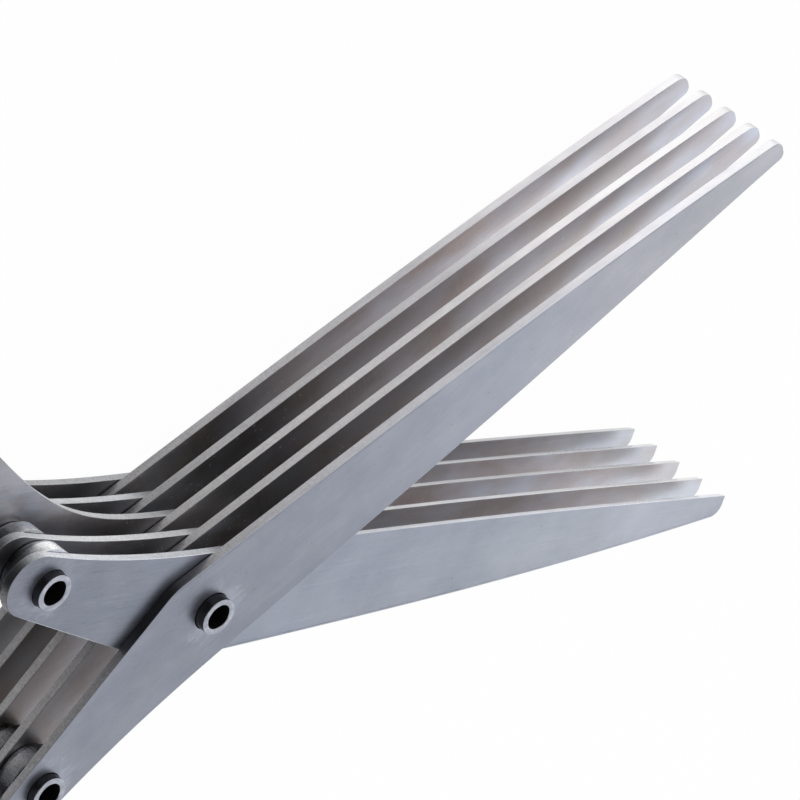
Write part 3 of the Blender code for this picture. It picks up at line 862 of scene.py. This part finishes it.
def inner_level(tree, half):
    """Painted shade level of each blade's inner faces, apart for tang and blade, which evens out at the
    tips.
    """
    turn = turn_of(half)
    past_pivot = remap(tree, reach_of(tree, turn), *PIVOT_BLEND, 0, 1)
    level = mix_colour(tree, past_pivot, stack_level(tree, turn, TANG_SHADE_LEVELS[half]),
                       stack_level(tree, turn, INNER_SHADE_LEVELS[half]))
    return evened(tree, turn, level, EVEN_REACH[half])


def away_from(tree, turn, centre, directions):
    """Way from a rivet's centre to a place on the piece, in the blade's plane."""
    away = vector_node(tree, "SUBTRACT", {0: blade_place(tree, turn), 1: (*centre, 0)})
    return vector_node(tree, "MULTIPLY", {0: away, 1: (*directions, 0)})


def rivet_halo(tree, half):
    """1 beside a rivet and 0 further out, in patchy strokes, where setting it has rubbed the face."""
    turn = turn_of(half)
    halo = 0.0
    patches = remap(tree, noise(tree, turn, "halo_patch"), *HALO_SPAN, 0, 1)
    for centre in ((0, 0), tang_rivet_centre(half)):
        away = away_from(tree, turn, centre, (1, 1))
        distance = vector_node(tree, "LENGTH", {0: away}, output="Value")
        stroke = remap(tree, noise(tree, turn, "halo_stroke"), *NOISE_SPAN, -HALO_STROKE, HALO_STROKE)
        reach = math_node(tree, "ADD", distance, stroke)
        halo = math_node(tree, "ADD", remap(tree, reach, *HALO_REACH, 1, 0), halo)
    return product(tree, halo, patches)


def spine_inset(tree, half):
    """Distance of a place on the face from the blade's spine."""
    turn = turn_of(half)
    height = node(tree, "SeparateXYZ", {0: blade_place(tree, turn)}, output=1)
    across = product(tree, height, side_of(half))
    share = math_node(tree, "DIVIDE", reach_of(tree, turn), BLADE_REACH)
    fall = product(tree, share, SPINE_OFFSET * SPINE_FALL_SHARE)
    cube = math_node(tree, "POWER", share, 3.0)
    belly = product(tree, cube, SPINE_OFFSET * SPINE_BELLY_SHARE)
    depth = math_node(tree, "SUBTRACT", math_node(tree, "SUBTRACT", SPINE_OFFSET, fall), belly)
    if half == "b":
        extra = remap(tree, reach_of(tree, turn), 0, WIDENING_REACH, 0, SPINE_WIDENING_B)
        depth = math_node(tree, "ADD", depth, extra)
    return math_node(tree, "ADD", across, depth)


def distance_between(tree, value, target):
    return math_node(tree, "ABSOLUTE", math_node(tree, "SUBTRACT", value, target), 0.0)


def face_tint(tree, half, mottle, streak, tooth):
    """Mottling, streaks, scratches and tooth of the sheet, as a tint round plain grey."""
    turn = turn_of(half)
    scratch = noise(tree, turn, "scratch")
    wear = remap(tree, reach_of(tree, turn), *WORN_REACH[half], 1, LEAST_WEAR)
    tint = spread(tree, mottle, NOISE_SPAN, WHITE, MOTTLE_LEVELS)
    tint = mark(tree, tint, streak, "pale_streak")
    tint = mark(tree, tint, streak, "dark_streak")
    tint = mark(tree, tint, scratch, "pale_scratch", wear)
    tint = mark(tree, tint, scratch, "dark_scratch", wear)
    return mark(tree, tint, tooth, "dark_tooth")


def inner_marks(tree, turn, tint):
    """Smudges, warm and cool stains, chatter marks and rubbed dots on the faces inside the stack."""
    stain = noise(tree, turn, "stain")
    tint = mark(tree, tint, noise(tree, turn, "smudge"), "pale_smudge")
    patch = mix_colour(tree, remap(tree, stain, *STAIN_SPAN, 0, 1), WARM_STAIN, COOL_STAIN)
    tint = mix_colour(tree, STAIN_SHARE, tint, patch, blend="MULTIPLY")
    stained = remap(tree, stain, *CHATTER_SPAN, 0, 1)
    near_tang = remap(tree, reach_of(tree, turn), *CHATTER_REACH, 1, 0)
    chattered = product(tree, stained, near_tang)
    tint = mark(tree, tint, noise(tree, turn, "chatter"), "dark_chatter", chattered)
    away = distance_between(tree, reach_of(tree, turn), DOT_CENTRE)
    near_pivot = remap(tree, away, *DOT_REACH, DOT_SHARE, 0)
    return mark(tree, tint, noise(tree, turn, "speck"), "pale_dot", near_pivot)


def outer_marks(tree, half, tint):
    """Rubbed patches beside the rivets, specks, and along the spine a painted highlight strip edged by a
    painted shade line.
    """
    turn = turn_of(half)
    tint = mix_colour(tree, rivet_halo(tree, half), tint, grey(HALO_LEVEL))
    tint = mark(tree, tint, noise(tree, turn, "speck"), "dark_speck")
    inset = spine_inset(tree, half)
    breaks = remap(tree, noise(tree, turn, "line_break"), *BREAK_SPAN, 0, 1)
    # Painted highlight strip and painted shade line along the spine
    tint = mark(tree, tint, inset, "painted_highlight_strip", breaks)
    return mark(tree, tint, distance_between(tree, inset, STRIP_WIDTH), "painted_shade_line", breaks)


def steel_face_material(half, inner):
    """Satin sheet, for the faces inside the stack or for the two outermost ones."""
    material, tree, shader = new_material(("inner" if inner else "outer") + "_satin_steel_" + half)
    turn = turn_of(half)
    mottle, streak, tooth = (noise(tree, turn, name) for name in ("mottle", "streak", "tooth"))
    tint = face_tint(tree, half, mottle, streak, tooth)
    if inner:
        tint = inner_marks(tree, turn, tint)
        # Painted light and shade: the base is darker or lighter along the blade and by the blade's place in
        # the stack.
        base = tinted(tree, reach_ramp(tree, turn, INNER_STEEL_SHADED[half]), inner_level(tree, half))
    else:
        tint = outer_marks(tree, half, tint)
        clouds = remap(tree, noise(tree, turn, "cloud"), *CLOUD_SPAN, 0, 1)
        clouding = mix_colour(tree, clouds, COOL_CLOUD, WARM_CLOUD)
        # Painted light and shade: the base is darker near the pivot and lighter towards the tip.
        base = tinted(tree, reach_ramp(tree, turn, OUTER_STEEL_SHADED[half]), clouding)
    rough = math_node(tree, "ADD", remap(tree, mottle, *NOISE_SPAN, *FACE_ROUGHNESS),
                      remap(tree, streak, *NOISE_SPAN, *STREAK_ROUGHNESS))
    relief = math_node(tree, "ADD", streak, product(tree, tooth, TOOTH_RELIEF_SHARE))
    finish_shader(tree, shader, tinted(tree, base, tint), rough, relief, *FACE_RELIEF)
    return material


def steel_edge_material(half, rim):
    """Edge of the sheet, ground across, with painted shade and a painted highlight that brightens it towards
    the tip, or its rim, with a painted highlight brighter still.
    """
    material, tree, shader = new_material(("rim" if rim else "edge") + "_steel_" + half)
    turn = turn_of(half)
    grain, patch, streak = (noise(tree, turn, "edge_" + name) for name in ("grain", "patch", "streak"))
    # Painted shade and highlight along the wall
    base = tinted(tree, reach_ramp(tree, turn, EDGE_STEEL_SHADED[half]), EDGE_TINT[half])
    # Painted shade: each wall's level by its blade's place in the stack
    level = evened(tree, turn, stack_level(tree, turn, WALL_SHADE_LEVELS[half]), EVEN_WALL_REACH[half])
    warming = mix_colour(tree, stack_level(tree, turn, WALL_WARMTH), grey(1.0), WARM_TINT)
    base = tinted(tree, tinted(tree, base, level), warming)
    # Rims get a painted highlight over the wall colour
    lift = RIM_HIGHLIGHT if rim else WHITE
    rough_share = remap(tree, reach_of(tree, turn), *ROUGH_EDGE_REACH, 1, 0)
    grain_share = remap(tree, reach_of(tree, turn), *GRAIN_REACH, GRAIN_SHARE, 0)
    tint = spread(tree, patch, NOISE_SPAN, lift, EDGE_LEVELS)
    tint = mark(tree, tint, streak, "pale_edge_streak", rough_share, lift)
    tint = mark(tree, tint, streak, "dull_edge_streak", rough_share, lift)
    tint = mark(tree, tint, grain, "dark_edge_grain", grain_share, lift)
    tint = mark(tree, tint, grain, "pale_edge_grain", grain_share, lift)
    smoothing = remap(tree, rough_share, 0, 1, SMOOTH_EDGE_SHARE, 1)
    rough = product(tree, remap(tree, grain, *NOISE_SPAN, *EDGE_ROUGHNESS), smoothing)
    strength = remap(tree, rough_share, 0, 1, *EDGE_RELIEF_RANGE)
    finish_shader(tree, shader, tinted(tree, base, tint), rough, grain, strength, EDGE_RELIEF_DEPTH)
    return material


def grainy_material(name, colour, roughness, turn, centre):
    """Bright metal with a coarse blasted grain, with painted shade that darkens the side towards the handle.
    """
    material, tree, shader = new_material(name)
    grain, stain = noise(tree, 0, "blast_grain"), noise(tree, 0, "blast_stain")
    backwards = vector_node(tree, "NORMALIZE", {0: away_from(tree, turn, centre, (-1, 1))})
    handle_side = node(tree, "SeparateXYZ", {0: backwards})
    stray = remap(tree, stain, *NOISE_SPAN, -SHADED_SIDE_STRAY, SHADED_SIDE_STRAY)
    shaded_side = math_node(tree, "ADD", handle_side, stray)
    shade = spread(tree, stain, NOISE_SPAN, colour, BLAST_LEVELS)
    shade = mark(tree, shade, grain, "blast_pit", colour=colour)
    # Painted shade: the side towards the handle is darkened, and the spacers behind the front one are darker
    shade = mix_colour(tree, remap(tree, shaded_side, *SHADED_SIDE_SPAN, 0, SHADED_SIDE_SHARE), shade, SPACER_SHADE_COLOUR)
    shade = tinted(tree, shade, stack_level(tree, turn, SPACER_SHADE_LEVELS))
    rough = varied(tree, grain, roughness, BLAST_ROUGHNESS)
    finish_shader(tree, shader, shade, rough, grain, *BLAST_RELIEF)
    return material


def turned_material(name, colour, roughness):
    """Turned metal: fine rings round the axis, soft stains and rubbed spots."""
    material, tree, shader = new_material(name)
    rings, stain = noise(tree, 0, "turned_ring"), noise(tree, 0, "turned_stain")
    shade = spread(tree, stain, NOISE_SPAN, colour, TURNED_LEVELS)
    shade = mark(tree, shade, rings, "turned_groove", colour=colour)
    rough = varied(tree, stain, roughness, TURNED_ROUGHNESS)
    finish_shader(tree, shader, shade, rough, rings, *TURNED_RELIEF)
    return material


def moulded_material(name, colour, roughness, grain):
    """Moulded plastic or rubber with a fine spark-eroded texture and slight rubbing."""
    material, tree, shader = new_material(name)
    texture, rubbing = noise(tree, 0, grain), noise(tree, 0, "rubbing")
    shade = spread(tree, rubbing, RUBBING_SPAN, colour, MOULDED_LEVELS)
    shade = mark(tree, shade, texture, "moulded_speck", colour=colour)
    rough = varied(tree, rubbing, roughness, MOULDED_ROUGHNESS)
    finish_shader(tree, shader, shade, rough, texture, *MOULDED_RELIEF, metallic=0.0)
    return material


# Pieces

def front_of(half, index):
    """Height of a blade's front face. Blade A of each pair lies in front of blade B."""
    behind = BLADE_THICKNESS + PAIR_GAP if half == "b" else 0
    return STACK_TOP - index * PITCH - behind


def build_blades(half, materials):
    side = side_of(half)
    for index in range(PAIR_COUNT):
        outline = long_blade_outline(half) if index == MIDDLE_PAIR else short_blade_outline(half)
        holes = [circle((0, 0), SHAFT_HOLE, HOLE_STEPS), circle(TANG_RIVET, SHAFT_HOLE, HOLE_STEPS)]
        name = f"blade_{half}{index + 1}"
        mesh = plate_mesh(name, [outline, *holes], BLADE_THICKNESS, side, RIM, RIM_STEPS)
        grind_edge(mesh, half, ground_face=-side)
        paint_blade(mesh, index)
        height = front_of(half, index) - BLADE_THICKNESS / 2
        place(name, mesh, half, (0, 0, height), "satin_steel", *materials)


def build_rivet(name, half, centre, low, high, materials):
    """A tube rivet with turned ends, its sides painted near black as shade and its bore painted black as the
    shade inside it.
    """
    profile = [(RIVET_RADIUS, high), (RIVET_RADIUS, low), (RIVET_BORE, low), (RIVET_BORE, high)]
    mesh = turned_mesh(name, soften(profile, [RIVET_ROUND] * 4))
    for polygon in mesh.polygons:
        # Sides and bore get the materials painted near black as shade
        if abs(polygon.normal.z) < WALL_SLOPE:
            radius = Vector(polygon.center[:2]).length
            polygon.material_index = 1 if radius > (RIVET_RADIUS + RIVET_BORE) / 2 else 2
    place(name, mesh, half, (*centre, 0), "turned_steel", *materials)


def build_washers(material):
    half = STACK_GAP / 2 - SEAT_GAP
    profile = [(WASHER_RADIUS, half), (WASHER_RADIUS, -half), (SHAFT_HOLE, -half), (SHAFT_HOLE, half)]
    for index in range(PAIR_COUNT - 1):
        name = f"pivot_washer_{index + 1}"
        mesh = turned_mesh(name, soften(profile, [WASHER_ROUND] * 4))
        height = front_of("a", index + 1) + STACK_GAP / 2
        place(name, mesh, "b", (0, 0, height), "washer_steel", material)


def build_spacers(half, centre, material):
    length = PITCH - BLADE_THICKNESS - 2 * SEAT_GAP
    top, bottom = length / 2, -length / 2
    step = bottom + COLLAR_LENGTH
    profile = [
        (SPACER_RADIUS, top), (SPACER_RADIUS, step), (COLLAR_RADIUS, step), (COLLAR_RADIUS, bottom),
        (SHAFT_HOLE, bottom), (SHAFT_HOLE, top),
    ]
    rounds = [RIM, SPACER_ROUND, 0, RIM, RIM, RIM]
    for index in range(PAIR_COUNT - 1):
        name = f"tang_spacer_{half}{index + 1}"
        mesh = turned_mesh(name, soften(profile, rounds))
        height = front_of(half, index + 1) + SEAT_GAP + length / 2
        place(name, mesh, half, (*centre, height), "turned_steel", material)


def join_meshes(name, meshes):
    """One mesh of several closed shapes."""
    shape = bmesh.new()
    for mesh in meshes:
        shape.from_mesh(mesh)
    joined = bpy.data.meshes.new(name)
    shape.to_mesh(joined)
    shape.free()
    return joined


def carve(mesh, cutters):
    """Cut closed shapes out of a closed mesh."""
    objects = [add_object(part.name, part) for part in (mesh, *cutters)]
    for cutter in objects[1:]:
        cut = objects[0].modifiers.new("cut", "BOOLEAN")
        cut.object = cutter
        cut.operation = "DIFFERENCE"
        cut.solver = "EXACT"
    carved = drawn_mesh(objects[0])
    for obj in objects:
        bpy.data.objects.remove(obj, do_unlink=True)
    return carved


def slot_outline(start, end, radius):
    """A straight slot with round ends."""
    angle = math.atan2(end[1] - start[1], end[0] - start[0])
    quarter = math.pi / 2
    return (arc(end, radius, angle - quarter, angle + quarter, GROOVE_STEPS)
            + arc(start, radius, angle + quarter, angle + 3 * quarter, GROOVE_STEPS))


def thumb_grooves(side):
    """Short grooves across the neck of the handle, cut into its front and its back."""
    grooves = []
    for index in range(GROOVE_COUNT):
        share = GROOVE_START + GROOVE_STEP * index
        start = handle_point((share, GROOVE_INNER))
        end = handle_point((share, GROOVE_OUTER - GROOVE_TAPER * index))
        slot = [slot_outline(start, end, GROOVE_RADIUS)]
        for face in (-1, 1):
            groove = plate_mesh("groove", slot, 2 * GROOVE_DEPTH, side, GROOVE_DEPTH / 2, GROOVE_ROUND_STEPS)
            groove.transform(Matrix.Translation((0, 0, face * HANDLE_THICKNESS / 2)))
            grooves.append(groove)
    return join_meshes("grooves", grooves)


def grown(outline, distance):
    """An outline moved outwards by a distance, or inwards by a negative one."""
    area = sum(a[0] * b[1] - b[0] * a[1] for a, b in zip(outline, outline[1:] + outline[:1]))
    moved = []
    for index, point in enumerate(outline):
        before, after = Vector(outline[index - 1]), Vector(outline[(index + 1) % len(outline)])
        along_edge = (after - before).normalized()
        outward = Vector((along_edge.y, -along_edge.x)) * math.copysign(distance, area)
        moved.append(tuple(Vector(point) + outward))
    return moved


def ribbed_loop(inset):
    """The inside of the lining, with ribs for the fingers along its front and rear thirds."""
    smooth = loop_outline(inset)
    raised = loop_outline(inset + RIB_HEIGHT)
    points = []
    for index, (low, high) in enumerate(zip(smooth, raised)):
        turn = 2 * math.pi * index / LOOP_STEPS
        share = max(0.0, abs(math.cos(turn)) - RIB_FREE) / (1 - RIB_FREE)
        wave = (1 - math.cos(turn * RIB_COUNT)) / 2
        points.append(along(low, high, min(1.0, 2 * share) * wave))
    return points


def build_handle(half, plastic, rubber):
    side = side_of(half)
    middle = STACK_TOP - STACK_DEPTH / 2
    name = f"handle_{half}"
    outline = handle_outline()
    body = plate_mesh(name, [outline, loop_outline(0)], HANDLE_THICKNESS, side,
                      HANDLE_ROUND, HANDLE_ROUND_STEPS)
    seam_band = [grown(outline, HANDLE_ROUND), grown(outline, -SEAM_DEPTH)]
    seam = plate_mesh("seam", seam_band, SEAM_WIDTH, side, 0, 0)
    mesh = carve(body, (seam, thumb_grooves(side)))
    place(name, mesh, half, (0, 0, middle), "handle_plastic", plastic)
    outer = loop_outline(GRIP_CLEARANCE)
    inner = ribbed_loop(GRIP_CLEARANCE + GRIP_THICKNESS - RIB_HEIGHT / 2)
    name = f"grip_lining_{half}"
    mesh = plate_mesh(name, [outer, inner], GRIP_DEPTH, side, GRIP_ROUND, GRIP_ROUND_STEPS)
    place(name, mesh, half, (0, 0, middle), "grip_rubber", rubber)


def build_half(half, rivet, plastic, rubber):
    faces = [steel_face_material(half, inner) for inner in (False, True)]
    edges = [steel_edge_material(half, rim) for rim in (False, True)]
    build_blades(half, faces + edges)
    centre = tang_rivet_centre(half)
    low = front_of(half, PAIR_COUNT - 1) - BLADE_THICKNESS - TANG_PROUD
    high = front_of(half, 0) + TANG_PROUD
    build_rivet(f"tang_rivet_{half}", half, centre, low, high, rivet)
    colour, roughness = SPACER_STEEL[half]
    grainy = grainy_material("grainy_steel_" + half, colour, roughness, turn_of(half), centre)
    build_spacers(half, centre, grainy)
    build_handle(half, plastic, rubber)


# Floor and light

def white_rays(tree):
    """1 for rays from the camera, from a mirror and through glass, otherwise 0."""
    path = tree.nodes.new("ShaderNodeLightPath")
    seen = math_node(tree, "MAXIMUM", path.outputs["Is Camera Ray"], path.outputs["Is Glossy Ray"])
    return math_node(tree, "MAXIMUM", seen, path.outputs["Is Transmission Ray"])


def add_floor():
    mesh = bpy.data.meshes.new("floor")
    corners = [(x * FLOOR_HALF, y * FLOOR_HALF, 0) for x, y in ((-1, -1), (1, -1), (1, 1), (-1, 1))]
    mesh.from_pydata(corners, [], [(0, 1, 2, 3)])
    floor = add_object("floor", mesh)
    material, tree, shader = new_material("pale_floor")
    shader.inputs["Base Color"].default_value = rgba(FLOOR_COLOUR)
    shader.inputs["Roughness"].default_value = FLOOR_ROUGHNESS
    glow = node(tree, "Emission", {"Color": grey(1.0), "Strength": 1.0})
    share = product(tree, white_rays(tree), FLOOR_GLOW)
    blend = node(tree, "MixShader", {0: share, 1: shader.outputs[0], 2: glow})
    link(tree, blend, tree.nodes["Material Output"].inputs["Surface"])
    mesh.materials.append(material)


def add_world():
    """White round the horizon, cooler and softer above, and dim where the camera and its stand are."""
    world = bpy.data.worlds.new("studio")
    world.use_nodes = True
    tree = world.node_tree
    background = tree.nodes["Background"]
    direction = node(tree, "TexCoord", {}, output="Generated")
    height = node(tree, "SeparateXYZ", {0: direction}, output=2)
    lift = remap(tree, height, *SKY_RISE, 0, 1)
    colour = mix_colour(tree, lift, rgba(HORIZON_LIGHT), rgba(OVERHEAD_LIGHT))
    link(tree, colour, background.inputs["Color"])
    toward = vector_node(tree, "DOT_PRODUCT", {0: direction, 1: DIM_SIDE}, output="Value")
    dimmed = node(tree, "MapRange", {
        0: toward, 1: math.cos(DIM_OUTER), 2: math.cos(DIM_INNER), 3: 1.0, 4: DIM_LEVEL,
    }, interpolation_type="SMOOTHSTEP")
    link(tree, dimmed, background.inputs["Strength"])
    bpy.context.scene.world = world


def add_lamp(name, place_at, target, size, power, colour):
    data = bpy.data.lights.new(name, "AREA")
    data.shape = "DISK"
    data.size = size
    data.energy = power
    data.color = colour
    lamp = add_object(name, data)
    lamp.location = place_at
    lamp.rotation_euler = (Vector(target) - Vector(place_at)).to_track_quat("-Z", "Y").to_euler()
    lamp.visible_camera = False


def main():
    add_camera()
    bpy.context.scene.view_settings.view_transform = "Standard"
    add_floor()
    add_world()
    for lamp in LAMPS:
        add_lamp(*lamp)

    rivet = [turned_material(*finish) for finish in RIVET_FINISHES]
    plastic = moulded_material(*PLASTIC_FINISH)
    rubber = moulded_material(*RUBBER_FINISH)
    for half in ("a", "b"):
        build_half(half, rivet, plastic, rubber)
    build_rivet("pivot_rivet", "b", (0, 0), 0, STACK_TOP + PIVOT_PROUD, rivet)
    build_washers(turned_material(*WASHER_FINISH))


main()
